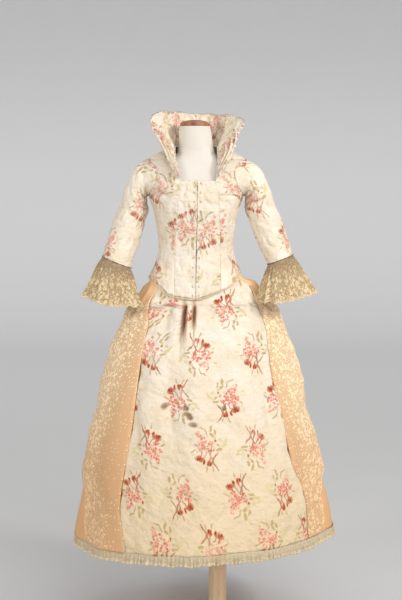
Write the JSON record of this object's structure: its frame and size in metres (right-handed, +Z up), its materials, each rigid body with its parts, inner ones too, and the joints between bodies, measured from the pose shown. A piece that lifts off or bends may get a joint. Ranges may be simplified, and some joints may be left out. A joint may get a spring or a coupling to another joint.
{
  "type": "robe a la francaise on a dress form",
  "caption": "Floor-length brocade gown with standing collar, lace sleeve flounces, lace-covered silk skirt sides and a pleated sack back, on a limbless dress form.",
  "frame": {"origin": "centre of the stand's underside, on the axis of its pole", "axes": "+Z up; the gown's front faces -Y; +X is the wearer's left"},
  "size_m": [0.9104, 0.9172, 1.7789],
  "materials": {
    "brocade": "cream satin brocade with pink flower sprays",
    "silk": "apricot silk",
    "panel_lace": "gold-cream dotted net and flower lace",
    "sleeve_lace": "tan net and flower lace",
    "hem_lace": "pale grey-cream lace",
    "piping": "brown and cream piping and braid",
    "hook_steel": "small hooks and eyes",
    "canvas": "white canvas cover",
    "wood": "varnished beech",
    "base_metal": "grey painted steel plate"
  },
  "bodies": {
    "root": {"form_torso": "canvas", "form_neck_cap": "wood", "form_pole": "wood", "form_base": "base_metal", "bodice_front_right": "brocade", "bodice_front_left": "brocade", "bodice_side_front_right": "brocade", "bodice_side_front_left": "brocade", "bodice_back_left": "brocade", "bodice_back_right": "brocade", "bodice_edging_right": "piping", "bodice_edging_left": "piping", "hook_01": "hook_steel", "hook_02": "hook_steel", "hook_03": "hook_steel", "hook_04": "hook_steel", "hook_05": "hook_steel", "hook_06": "hook_steel", "hook_07": "hook_steel", "hook_08": "hook_steel", "hook_09": "hook_steel", "hook_10": "hook_steel", "hook_11": "hook_steel", "hook_12": "hook_steel", "collar_right": "brocade", "collar_left": "brocade", "sleeve_right": "brocade", "cuff_braid_right": "piping", "sleeve_flounce_right": "sleeve_lace", "sleeve_left": "brocade", "cuff_braid_left": "piping", "sleeve_flounce_left": "sleeve_lace", "skirt_front": "brocade", "skirt_side_right": "silk", "skirt_side_left": "silk", "skirt_back_left": "silk", "skirt_back_right": "silk", "waistband": "silk", "lace_panel_right": "panel_lace", "lace_panel_left": "panel_lace", "hem_flounce_front": "hem_lace", "hem_flounce_left": "hem_lace", "hem_flounce_right": "hem_lace", "hem_flounce_back": "hem_lace", "sack_pleat_right": "brocade", "sack_pleat_left": "brocade"}
  },
  "joints": []
}
